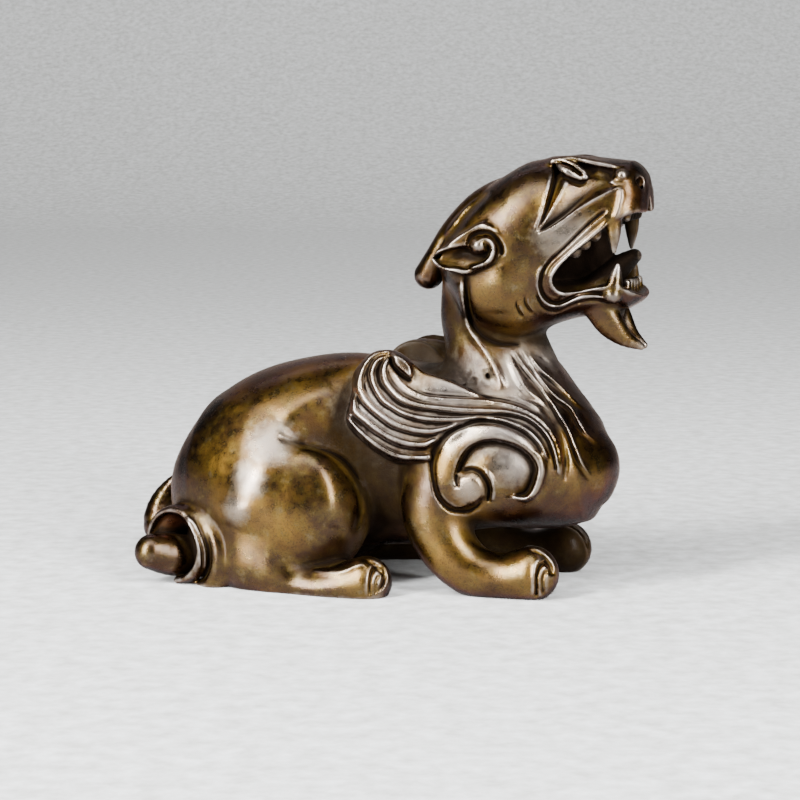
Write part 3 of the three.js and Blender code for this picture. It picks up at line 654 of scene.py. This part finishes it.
def draw_ear(cheek):
    """The leaf's hollow under its rolled rim, and the curl that rises from its lower edge, in a round groove."""
    rim = [(7.7, 45.3), (8.6, 45.9), (9.6, 46.3), (10.8, 46.6), (12.4, 46.8), (13.1, 46.3), (13.8, 45.9), (15, 46)]
    lower_edge = [(7.8, 44.9), (8.5, 44.2), (9.5, 43.8), (10.6, 43.7), (11.9, 43.5), (13, 43.8), (14.3, 44.4),
                  (15, 45.2)]
    cheek.strip(rim, lower_edge, [(0, -0.2), (0.06, -2), (0.22, -2.5), (0.5, -1.8), (0.85, -0.8), (1, 0)])
    cheek.line([(12.4, 46.7), (12.5, 47.5), (13, 48.2), (13.9, 48.7), (15, 48.8), (15.8, 48.5), (16.5, 47.7),
                (17, 46.8), (17.1, 45.7)], -0.75, 0.22, fade=0.06)
    cheek.line([(13, 47.6), (13.8, 48.2), (15, 48.3), (16, 47.6), (16.4, 46.4), (16.2, 45)], -0.3, 0.3)
    cheek.ribbon([(13.8, 47, 0.85), (14, 47, 0.85)], 0.75, 0.7, 0.5)
    cheek.ribbon([(13, 44, 0.2), (14.4, 44.4, 0.35), (15.3, 44.9, 0.42), (15.8, 45.7, 0.45), (15.9, 46.6, 0.45),
                  (15.6, 47.4, 0.42), (14.8, 47.8, 0.4), (14, 47.5, 0.4)], 0.6, 0.25, 0.5)
    cheek.line([(13.6, 45.7), (14.4, 45.8), (15.1, 46), (15.3, 46.4), (15.1, 46.9)], -0.7, 0.22, fade=0.08)
    cheek.line([(7.7, 45.6), (8.9, 46.7), (10.5, 47.7), (12.1, 48.6), (13.6, 49.5), (15.4, 50.5)], 0.3, 0.22)
    cheek.line([(15.3, 54.4), (13.6, 52.7), (12, 50.9), (10.7, 49.2), (9.4, 47.7), (8.3, 46.2)], -0.7, 0.55)
    cheek.line([(12.1, 43), (12.2, 41), (12.5, 38.6), (13.1, 36.4), (14.2, 35), (15.8, 34.1), (17.8, 33.6),
                (19.8, 33.6)], -0.7, 0.35, fade=0.05)


def model_crest(wax):
    """The crest lies back along the skull and ends in a round lock at the nape."""
    wax.add(limb([(17, 0, 55.3, 2.4, 1), (14.4, 0, 54.2, 3.2, 1.3), (11.6, 0, 52.2, 3.5, 1.5), (8.6, 0, 48.8, 3.6, 1.6),
                  (6.4, 0, 45.2, 3.2, 1.7), (4.9, 0, 42.4, 2.7, 2)]), 0.3)


def model_beard(wax):
    """The beard is swept forward under the chin in two lobes with a hollow between them."""
    wax.add(limb([(29.8, -3.2, 38.6, 1.7, 2.2), (31.2, -2.9, 36.4, 1.4, 1.9), (32.9, -2.1, 34.6, 1.1, 1.2),
                  (35, -1, 33.4, 0.5, 0.5)]), 0.6)
    wax.add(limb([(31, 0, 39, 2.8, 1.6), (31.4, 0, 36.2, 2, 0.8), (33.4, 0, 34, 1.2, 0.5)]), 0.4)


# The tail

def hoop(middle, axis, radius, half_width, half_depth):
    """A rounded band bent over a level axis into a hoop that is open below."""
    outward = np.array([-axis[1], axis[0], 0])
    band = []
    for angle in np.linspace(-1.5, 3.5, 13):
        place = middle + outward * math.cos(angle) * radius + np.array([0, 0, math.sin(angle) * radius])
        band.append((*place, half_width, half_depth))
    return limb(band, wide=axis, steps=2)


def model_tail(wax):
    """The tail rises as a leaf behind the rump and throws a curl to each side, an open shell with a knob in it."""
    wax.add(egg((-28, 0, 4.5), (8, 9, 5.5)), 1.5)
    wax.add(limb([(-32, 0, 2.4, 5, 3.4), (-34.8, 0, 5.4, 4, 3), (-35, 0, 8.6, 2.6, 2), (-33.6, 0, 11.4, 1.2, 1.1),
                  (-32.6, 0, 12.6, 0.5, 0.5)]), 0.6)
    axis = np.array([-0.39, -0.92, 0])
    back, front = np.array([-24.8, -12.9, 4.2]), np.array([-27, -14.3, 5.4])
    wax.add(limb([(*(back - axis * 6), 4.8, 4.8), (*(back - axis * 4.4), 4.8, 4.8)], wide=(0, 0, 1)), 0.5)
    wax.add(hoop(back, axis, 5.5, 2.3, 1.6), 0.5)
    wax.add(hoop(front, axis, 4.9, 1.2, 0.6), 1)
    wax.add(limb([(-26.6, -11, 3.2, 2.9, 2.9), (-28.6, -13.8, 3.8, 2.9, 2.8), (-30.4, -15.6, 4.4, 2.5, 2.4)],
                 wide=(0, 0, 1)), 0.4)


def draw_tail(curl):
    """Two beads run along the open edge of the curl."""
    for bead in ([(-26.7, 8.9), (-25.6, 8), (-24.7, 6.2), (-24.1, 4.5), (-24, 3.3), (-24, 1.5)],
                 [(-26.8, 8.4), (-26.2, 7.7), (-25.4, 6.2), (-24.8, 4.3), (-24.7, 3.2), (-24.6, 1.8)]):
        curl.line(bead, 0.35, 0.2)
    curl.line([(-26.4, 8.3), (-25.1, 6.2), (-24.4, 4.2), (-24.3, 1.6)], -0.25, 0.16)


# Casting

def read_block(block, places):
    """A block's values at places given in grains, in between them too."""
    limits = np.array(block.shape) - 2
    base = np.clip(np.floor(places).astype(int), 0, limits)
    share = np.clip(places - base, 0, 1)
    total = np.zeros(len(places))
    for corner in np.ndindex(2, 2, 2):
        weight = np.prod(np.where(corner, share, 1 - share), axis=1)
        total += weight * block[tuple((base + corner).T)]
    return total


def uphill(block, places, grain):
    """The direction in which a block's values grow, at places given in grains."""
    steps = np.eye(3) * 0.7
    slope = [read_block(block, places + step) - read_block(block, places - step) for step in steps]
    return np.stack(slope, 1) / (1.4 * grain)


def blurred(block, reach):
    """A block blurred over `reach` grains."""
    for axis in range(3):
        for _ in range(3):
            width = max(1, int(round(reach)))
            edges = [(width + 1, width) if each == axis else (0, 0) for each in range(3)]
            running = np.cumsum(np.pad(block, edges, mode="edge"), axis=axis, dtype=np.float32)
            count = running.shape[axis]
            upper = np.take(running, range(2 * width + 1, count), axis)
            lower = np.take(running, range(0, count - 2 * width - 1), axis)
            block = (upper - lower) / (2 * width + 1)
    return block


def drop_crumbs(mesh):
    """Takes away specks, bubbles and slivers, so that one closed skin stays."""
    shape = bmesh.new()
    shape.from_mesh(mesh)
    bmesh.ops.dissolve_degenerate(shape, dist=0.02, edges=shape.edges)
    bmesh.ops.triangulate(shape, faces=shape.faces)
    waiting = set(shape.faces)
    largest, crumbs = [], []
    while waiting:
        front = [waiting.pop()]
        skin = []
        while front:
            face = front.pop()
            skin.append(face)
            beside = {other for edge in face.edges for other in edge.link_faces} & waiting
            waiting -= beside
            front += beside
        if len(skin) > len(largest):
            largest, skin = skin, largest
        crumbs += skin
    bmesh.ops.delete(shape, geom=crumbs, context="FACES")
    shape.to_mesh(mesh)
    shape.free()


def cast(wax, name, most_faces):
    """Takes the wax's skin off as a mesh, thinned where it is smooth and laid back on the skin exactly."""
    block = wax.whole(wax.skin)
    corner = np.array([axis[0] for axis in wax.axes])
    grid = openvdb.FloatGrid(FAR)
    grid.copyFromArray(block)
    points, quads = grid.convertToQuads(0.0)
    mesh = bpy.data.meshes.new(name)
    mesh.from_pydata(points.astype(float), [], quads)
    piece = bpy.data.objects.new(name, mesh)
    bpy.context.scene.collection.objects.link(piece)
    thin = piece.modifiers.new("Thin", "DECIMATE")
    thin.ratio = min(1, most_faces / (2 * len(quads)))
    thinned = bpy.data.meshes.new_from_object(piece.evaluated_get(bpy.context.evaluated_depsgraph_get()))
    piece.modifiers.clear()
    piece.data = thinned
    bpy.data.meshes.remove(mesh)
    thinned.name = name
    drop_crumbs(thinned)
    places = np.empty(3 * len(thinned.vertices))
    thinned.vertices.foreach_get("co", places)
    places = places.reshape(-1, 3)
    for _ in range(3):
        slope = uphill(block, places, wax.grain)
        steep = np.maximum((slope ** 2).sum(1), 0.05)
        places -= (np.clip(read_block(block, places), -0.3, 0.3) / steep / wax.grain)[:, None] * slope
    slope = uphill(block, places, wax.grain)
    outward = slope / np.maximum(np.linalg.norm(slope, axis=1), 1e-6)[:, None]
    add_hollows(thinned, block, places, wax)
    figure = (places * wax.grain + corner + (TO_MIDDLE, 0, 0)) * MM
    thinned.vertices.foreach_set("co", figure.astype(np.float32).ravel())
    thinned.polygons.foreach_set("use_smooth", np.ones(len(thinned.polygons), bool))
    thinned.update()
    thinned.normals_split_custom_set_from_vertices(outward)
    return piece


def add_hollows(mesh, block, places, wax):
    """Writes on each vertex how far it stands out, seen from near by and from further off, and how deep in the mouth."""
    solid = np.clip(0.5 - block / wax.grain, 0, 1)
    layers = {"fine_edge": 1 - read_block(blurred(solid, 0.35 / wax.grain), places)}
    for name, reach in (("middle_edge", 1), ("broad_edge", 3)):
        layers[name] = 1 - read_block(blurred(solid[::2, ::2, ::2], reach / (2 * wax.grain)), places / 2)
    layers["mouth_depth"] = -read_block(wax.whole(wax.uncut), places)
    for name, values in layers.items():
        layer = mesh.attributes.new(name, "FLOAT", "POINT")
        layer.data.foreach_set("value", values.astype(np.float32))


def model_beast(grain):
    """The whole beast in wax: the big forms first, then what is drawn on them."""
    wax = Wax((-42, -21, -2), (40, 0, 62), grain)
    flank, shoulder, breast, haunch, heel, curl, cheek = (
        Drawing(plane, grain) for plane in (-13, -12, -9, -14, -17, -12, -7))
    model_body(wax)
    model_foreleg(wax)
    model_haunch(wax)
    wax.smooth(0.4)
    model_wing(wax, flank)
    model_skull(wax)
    model_ear(wax, cheek)
    wax.smooth(0.15)
    draw_feathers(flank)
    draw_scroll(shoulder)
    draw_flutes(breast)
    draw_toes(shoulder, heel)
    draw_haunch(haunch)
    draw_tail(curl)
    draw_lips(cheek)
    draw_eye(cheek)
    draw_ear(cheek)
    wax.carve(flank, (-5, -18, 15), (30, -6, 34))
    wax.carve(shoulder, (5, -18, 0), (36, 0, 33))
    wax.carve(breast, (9, -18, 10), (36, 0, 42))
    wax.carve(haunch, (-28, -21, 1), (5, -4, 31))
    wax.carve(heel, (-10, -21, -2), (6, -10, 10))
    wax.carve(cheek, (5, -14, 33.5), (36, -2.5, 60))
    wax.uncut = wax.skin.copy()
    model_mouth(wax, cheek)
    model_eye_and_nose(wax)
    model_crest(wax)
    model_beard(wax)
    model_tail(wax)
    wax.carve(curl, (-40, -21, -2), (-15, -3, 14))
    cut_toes(wax)
    wax.skin = np.maximum(wax.skin, -wax.axes[2][None, None, :]).astype(np.float32)
    wax.smooth(0.1)
    return wax


# Materials

def add_node(tree, kind, settings=None, links=None, output=0):
    """Adds a node, sets its values by name or socket number, links its inputs, and gives the named output."""
    node = tree.nodes.new(kind)
    for key, value in (settings or {}).items():
        if isinstance(key, int) or key in node.inputs:
            node.inputs[key].default_value = value
        else:
            setattr(node, key, value)
    for key, source in (links or {}).items():
        tree.links.new(source, node.inputs[key])
    return None if output is None else node.outputs[output]


def new_material(name):
    material = bpy.data.materials.new(name)
    material.use_nodes = True
    material.node_tree.nodes.clear()
    return material, material.node_tree


def per_metre(millimetres):
    """A pattern scale whose features are about this size."""
    return 1 / (millimetres * MM)


def noise(tree, place, size, detail=3.0, roughness=0.55):
    return add_node(tree, "ShaderNodeTexNoise", {"Scale": per_metre(size), "Detail": detail, "Roughness": roughness},
                    {"Vector": place})


def share(tree, value, low, high, top=1.0):
    """0 where the value is below `low`, rising to `top` where it is above `high`."""
    return add_node(tree, "ShaderNodeMapRange",
                    {"From Min": low, "From Max": high, "To Min": 0.0, "To Max": top}, {"Value": value})


def blend(tree, amount, under, over):
    """One colour over another; each is a hex code or an output."""
    settings = {"data_type": "RGBA"}
    links = {0: amount}
    for socket, colour in ((6, under), (7, over)):
        if isinstance(colour, str):
            settings[socket] = linear(colour)
        else:
            links[socket] = colour
    return add_node(tree, "ShaderNodeMix", settings, links, output=2)


def combine(tree, operation, first, second):
    """Two values through a sum; either may be a plain number."""
    settings = {"operation": operation}
    links = {}
    for socket, value in enumerate((first, second)):
        if isinstance(value, (int, float)):
            settings[socket] = value
        else:
            links[socket] = value
    return add_node(tree, "ShaderNodeMath", settings, links)


# Where the patina is golden, where it is redder, and where it is painted silvery, as x, z and reach; the silvery
# patches are painted highlights on the rump, the scroll, the neck and the head, and on the wing partly worn metal,
# partly painted highlight
GOLD_PATCHES = [(-21, 17.5, 5), (-10, 9, 5), (10, 6, 5), (10.5, 18, 3), (27, 20, 4), (19, 36, 4), (24, 53, 3), (-20, 26, 4),
                (-3, 30, 6), (-11, 28, 5)]
RUSSET_PATCHES = [(31, 24, 6), (28, 32, 6), (31, 11, 6), (36, 54, 4), (-28, 9, 4), (7, 41, 4), (-29, 20, 5)]
SILVER_AND_HIGHLIGHT_PATCHES = [(2, 25, 9), (12, 26, 8), (20, 24, 7), (20, 18.5, 4), (14.5, 15, 3), (21, 30, 6), (26, 49, 5),
                  (-13, 20, 4), (-15.2, 15.5, 3.5), (-17, 11.5, 3)]


def patches(tree, place, rows, ragged):
    """1 round each of some places of the beast's sides, fading out raggedly over its reach."""
    flat = add_node(tree, "ShaderNodeVectorMath", {"operation": "MULTIPLY", 1: (1, 0, 1)}, {0: place})
    total = 0.0
    for x, z, reach in rows:
        middle = ((x + TO_MIDDLE) * MM, 0, z * MM)
        away = add_node(tree, "ShaderNodeVectorMath", {"operation": "DISTANCE", 1: middle}, {0: flat}, output="Value")
        total = combine(tree, "MAXIMUM", total, share(tree, away, reach * MM, 0.0))
    return share(tree, combine(tree, "ADD", total, ragged), 0.6, 1.3)


def patina_colour(tree, settings, place, normal, grain, hollow, rubbed):
    """Brown with gold, olive and russet clouds, bare metal on the edges, silvery painted highlights, and a dark red
    where it faces down, which is painted shade in a reddish tone.
    """
    clouds = noise(tree, place, 9, 4, 0.55)
    flecks = noise(tree, place, 1.8, 5, 0.6)
    upward = add_node(tree, "ShaderNodeSeparateXYZ", {}, {0: normal}, output="Z")
    facing = combine(tree, "ADD", upward, combine(tree, "MULTIPLY", clouds, 1.4))
    golden = combine(tree, "MAXIMUM", share(tree, clouds, 0.44, 0.64, 0.6), patches(tree, place, GOLD_PATCHES, flecks))
    russet = combine(tree, "MULTIPLY", patches(tree, place, RUSSET_PATCHES, flecks), 0.7)
    colour = blend(tree, golden, settings.brown, settings.gold)
    colour = blend(tree, share(tree, flecks, 0.45, 0.7, 0.7), colour, settings.olive)
    colour = blend(tree, russet, colour, settings.russet)
    # Painted shade: what faces down is turned a darker reddish brown, as the undersides in shade
    colour = blend(tree, share(tree, facing, 0.5, -0.3, 0.8), colour, settings.red)
    colour = blend(tree, share(tree, grain, 0.5, 0.36, 0.45), colour, settings.dark)
    # Painted highlights: silvery patches of the bare metal colour where the lights catch the beast, partly worn metal
    # on the wing
    silver_and_highlight = combine(tree, "MULTIPLY", patches(tree, place, SILVER_AND_HIGHLIGHT_PATCHES, flecks), 0.2)
    colour = blend(tree, combine(tree, "MAXIMUM", silver_and_highlight, rubbed), colour, settings.bare)
    return blend(tree, hollow, colour, settings.dark)


def cast_bronze(settings):
    """Cast bronze, chased and rubbed by hands: a brown patina stays in the fine grooves, painted shade darkens the
    deeper recesses, the mouth and the sides turned inwards, and bright metal shows on the edges, with silvery painted
    highlights. Warm gold and reddish clouds lie over the brown, and the casting's fine grain breaks up the shine."""
    material, tree = new_material("hand_rubbed_cast_bronze")
    place = add_node(tree, "ShaderNodeTexCoord", output="Object")
    fine, middle, broad, depth = [add_node(tree, "ShaderNodeAttribute", {"attribute_name": name}, output="Fac")
                                  for name in ("fine_edge", "middle_edge", "broad_edge", "mouth_depth")]
    grain = noise(tree, place, 0.25, 3, 0.75)
    smears = noise(tree, place, 1.6, 4, 0.55)
    uneven = combine(tree, "ADD", fine, combine(tree, "MULTIPLY", combine(tree, "SUBTRACT", smears, 0.5), 0.1))
    # Painted shade: the deep recesses (broad_edge), the ear's hollow (middle_edge) and the inside of the mouth
    # (mouth_depth) are darkened where shade falls
    recess_shade = combine(tree, "MAXIMUM", share(tree, broad, 0.53, 0.42, 0.9), share(tree, depth, 1.8, 3.6))
    recess_shade = combine(tree, "MAXIMUM", recess_shade, share(tree, middle, 0.5, 0.37, 0.9))
    # hollow: dark patina in the fine grooves together with the painted shade; it darkens the colour and lowers the
    # metal and the shine
    hollow = combine(tree, "MAXIMUM", share(tree, uneven, 0.47, 0.37), recess_shade)
    normal = add_node(tree, "ShaderNodeNewGeometry", output="Normal")
    # Painted shade on the sides turned towards the beast's middle, such as the inside of the far wing
    outward = combine(tree, "MULTIPLY", add_node(tree, "ShaderNodeSeparateXYZ", {}, {0: normal}, output="Y"),
                      add_node(tree, "ShaderNodeSeparateXYZ", {}, {0: place}, output="Y"))
    hollow = combine(tree, "MAXIMUM", hollow, share(tree, outward, -1 * MM, -4 * MM, 0.9))
    rubbed = combine(tree, "MULTIPLY", share(tree, uneven, 0.56, 0.72, settings.wear), share(tree, smears, 0.3, 0.55))
    colour = patina_colour(tree, settings, place, normal, grain, hollow, rubbed)
    polish = add_node(tree, "ShaderNodeMapRange", {"From Min": 0.3, "From Max": 0.7, "To Min": settings.gloss - 0.07,
                                                   "To Max": settings.gloss + 0.1}, {"Value": smears})
    dullness = combine(tree, "ADD", polish, combine(tree, "MULTIPLY", hollow, 0.35))
    metal = combine(tree, "SUBTRACT", 1.0, combine(tree, "MULTIPLY", hollow, 0.6))
    shine = combine(tree, "SUBTRACT", 0.5, combine(tree, "MULTIPLY", hollow, 0.42))
    stretched = add_node(tree, "ShaderNodeMapping", {"Rotation": (0.3, 0.5, 0.2), "Scale": (1, 1, 14)},
                         {"Vector": place})
    scratches = noise(tree, stretched, 1.4, 2, 0.8)
    skin = combine(tree, "ADD", combine(tree, "MULTIPLY", grain, 0.7), combine(tree, "MULTIPLY", scratches, 0.3))
    rough_skin = combine(tree, "MULTIPLY", skin, combine(tree, "ADD", 1.0, combine(tree, "MULTIPLY", recess_shade, 1.5)))
    bump = add_node(tree, "ShaderNodeBump", {"Strength": 0.45, "Distance": 0.08 * MM}, {"Height": rough_skin})
    lacquer = combine(tree, "MULTIPLY", combine(tree, "SUBTRACT", 1.0, hollow), 0.3)
    shader = add_node(tree, "ShaderNodeBsdfPrincipled", {"Coat Roughness": 0.2, "Specular Tint": linear("#9c6f3c")},
                      {"Base Color": colour, "Metallic": metal, "Roughness": dullness, "Normal": bump,
                       "Specular IOR Level": shine, "Coat Normal": bump, "Coat Weight": lacquer})
    add_node(tree, "ShaderNodeOutputMaterial", {}, {"Surface": shader}, output=None)
    return material


def pale_paper(settings):
    """Matt pale paper under the beast, whose fibres make it faintly uneven."""
    material, tree = new_material("pale_paper")
    place = add_node(tree, "ShaderNodeTexCoord", output="Object")
    fibres = noise(tree, place, 3, 3, 0.6)
    colour = blend(tree, share(tree, fibres, 0.3, 0.7, 0.3), settings.paper, "#ffffff")
    shader = add_node(tree, "ShaderNodeBsdfPrincipled", {"Roughness": 0.8}, {"Base Color": colour})
    add_node(tree, "ShaderNodeOutputMaterial", {}, {"Surface": shader}, output=None)
    return material


# The add-on

def lay_sweep(settings):
    """A pale sheet of paper lies under the beast and bends up far behind it."""
    radius, straight, half = 0.6, 0.9, settings.floor_size / 2
    profile = [(-half, 0), (straight, 0)]
    for angle in np.linspace(0, math.pi / 2, 13)[1:]:
        profile.append((straight + radius * math.sin(angle), radius * (1 - math.cos(angle))))
    profile.append((straight + radius, 2.5))
    shape = bmesh.new()
    rows = []
    for along, height in profile:
        rows.append([shape.verts.new((side * half, along, height)) for side in (-1, 1)])
    for before, after in zip(rows[:-1], rows[1:]):
        shape.faces.new((before[0], before[1], after[1], after[0])).smooth = True
    mesh = bpy.data.meshes.new("paper_sweep")
    shape.to_mesh(mesh)
    shape.free()
    sweep = bpy.data.objects.new("paper_sweep", mesh)
    sweep.rotation_euler.z = TURN
    bpy.context.scene.collection.objects.link(sweep)
    mesh.materials.append(pale_paper(settings))


def hang_light(name, place, aim, size, power):
    """A soft light at one place, turned towards another."""
    lamp = bpy.data.lights.new(name, "AREA")
    lamp.shape = "RECTANGLE"
    lamp.size, lamp.size_y = size
    lamp.energy = power
    lamp.color = (0.92, 0.96, 1)
    light = bpy.data.objects.new(name, lamp)
    light.location = place
    light.rotation_euler = (Vector(aim) - Vector(place)).to_track_quat("-Z", "Y").to_euler()
    bpy.context.scene.collection.objects.link(light)


def round_the_beast(turn, rise):
    """A place half a metre from the beast, some degrees round from its flank and some up."""
    turn, rise = math.radians(turn), math.radians(rise)
    return Vector((math.sin(turn) * math.cos(rise), -math.cos(turn) * math.cos(rise), math.sin(rise))) * 0.55


class BronzeSettings(bpy.types.PropertyGroup):
    grain: FloatProperty(name="Grain", description="Size of the wax's grains in mm", default=0.15,
                         min=0.1, max=1)
    most_faces: IntProperty(name="Most triangles", description="Triangles that the cast mesh may have",
                            default=190000, min=1000)
    brown: StringProperty(name="Brown", description="The patina's main colour", default="#34220d")
    gold: StringProperty(name="Gold", description="Warm clouds in the patina", default="#664a18")
    olive: StringProperty(name="Olive", description="Small greenish gold flecks", default="#4d3f14")
    russet: StringProperty(name="Russet", description="Reddish clouds in the patina", default="#4c2a12")
    # The red colour is painted shade on the undersides, in a reddish tone
    red: StringProperty(name="Red", description="Reddish brown on what faces down", default="#2e1108")
    # The bare metal colour also paints the highlights in the silvery patches
    bare: StringProperty(name="Bare metal", description="Metal rubbed bare on the edges", default="#d0c6bf")
    # The dark colour is dark patina in the fine grooves and painted shade in the recesses, the mouth and the inward
    # sides
    dark: StringProperty(name="Dark", description="Old dirt and patina in the hollows", default="#0b0705")
    wear: FloatProperty(name="Wear", description="How bare the edges are rubbed", default=0.3, min=0, max=1)
    gloss: FloatProperty(name="Roughness", description="Roughness of the rubbed patina", default=0.29, min=0, max=1)


class StageSettings(bpy.types.PropertyGroup):
    floor_size: FloatProperty(name="Floor", description="Width of the paper sweep", default=4.0, unit="LENGTH")
    paper: StringProperty(name="Paper", description="Colour of the paper sweep", default="#a19e99")
    key_power: FloatProperty(name="Key light", description="Power of the large soft light on the left", default=21.5)
    fill_power: FloatProperty(name="Right light", description="Power of the soft light on the right", default=12.0)
    top_power: FloatProperty(name="Top light", description="Power of the soft light overhead", default=3.5)
    backdrop_power: FloatProperty(name="Backdrop light", description="Power of the light on the paper behind",
                                  default=14.0)
    air: FloatProperty(name="Room", description="Brightness of the room", default=0.07)


class QILIN_OT_figure(bpy.types.Operator):
    """Model the beast in wax and cast it"""
    bl_idname = "qilin.figure"
    bl_label = "Cast the beast"

    def execute(self, context):
        settings = context.scene.qilin_bronze
        wax = model_beast(settings.grain)
        piece = cast(wax, "qilin_bronze", settings.most_faces)
        piece.data.materials.append(cast_bronze(settings))
        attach(piece, "root")
        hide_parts("qilin")
        return {"FINISHED"}


class QILIN_OT_stage(bpy.types.Operator):
    """Lay the pale floor, and set the lights and the camera"""
    bl_idname = "qilin.stage"
    bl_label = "Set the stage"

    def execute(self, context):
        settings = context.scene.qilin_stage
        lay_sweep(settings)
        world = bpy.data.worlds.new("studio")
        world.use_nodes = True
        world.node_tree.nodes["Background"].inputs["Color"].default_value = linear("#dfe3ea")
        world.node_tree.nodes["Background"].inputs["Strength"].default_value = settings.air
        context.scene.world = world
        beast = (0, 0, 0.028)
        hang_light("left", round_the_beast(-32, 25), beast, (0.1, 0.48), settings.key_power)
        hang_light("right", round_the_beast(56, 26), beast, (0.09, 0.44), settings.fill_power)
        hang_light("top", round_the_beast(0, 64), beast, (0.4, 0.2), settings.top_power)
        hang_light("backdrop", (-0.3, 0.7, 1.1), (-0.4, 1.6, 0.2), (1.2, 0.3), settings.backdrop_power)
        lens = bpy.data.cameras.new("camera")
        lens.lens = 109.6
        lens.sensor_width = 36
        camera = bpy.data.objects.new("camera", lens)
        camera.location = Vector(EYE + (TO_MIDDLE, 0, 0)) * MM
        camera.rotation_euler = (Vector(-TOWARDS_EYE)).to_track_quat("-Z", "Y").to_euler()
        context.scene.collection.objects.link(camera)
        context.scene.camera = camera
        return {"FINISHED"}


class QILIN_PT_panel(bpy.types.Panel):
    """Lists the beast and its stage"""
    bl_label = "Bronze qilin"
    bl_idname = "QILIN_PT_panel"
    bl_space_type = "VIEW_3D"
    bl_region_type = "UI"
    bl_category = "Qilin"

    def draw(self, context):
        for group, operator in ((context.scene.qilin_bronze, "qilin.figure"), (context.scene.qilin_stage, "qilin.stage")):
            box = self.layout.box()
            for name in group.bl_rna.properties.keys():
                if name not in ("rna_type", "name"):
                    box.prop(group, name)
            box.operator(operator)


CLASSES = (BronzeSettings, StageSettings, QILIN_OT_figure, QILIN_OT_stage, QILIN_PT_panel)


def register():
    for each in CLASSES:
        bpy.utils.register_class(each)
    bpy.types.Scene.qilin_bronze = PointerProperty(type=BronzeSettings)
    bpy.types.Scene.qilin_stage = PointerProperty(type=StageSettings)


def unregister():
    del bpy.types.Scene.qilin_stage
    del bpy.types.Scene.qilin_bronze
    for each in reversed(CLASSES):
        bpy.utils.unregister_class(each)


def main():
    register()
    bpy.ops.qilin.figure()
    bpy.ops.qilin.stage()


if __name__ == "__main__":
    main()
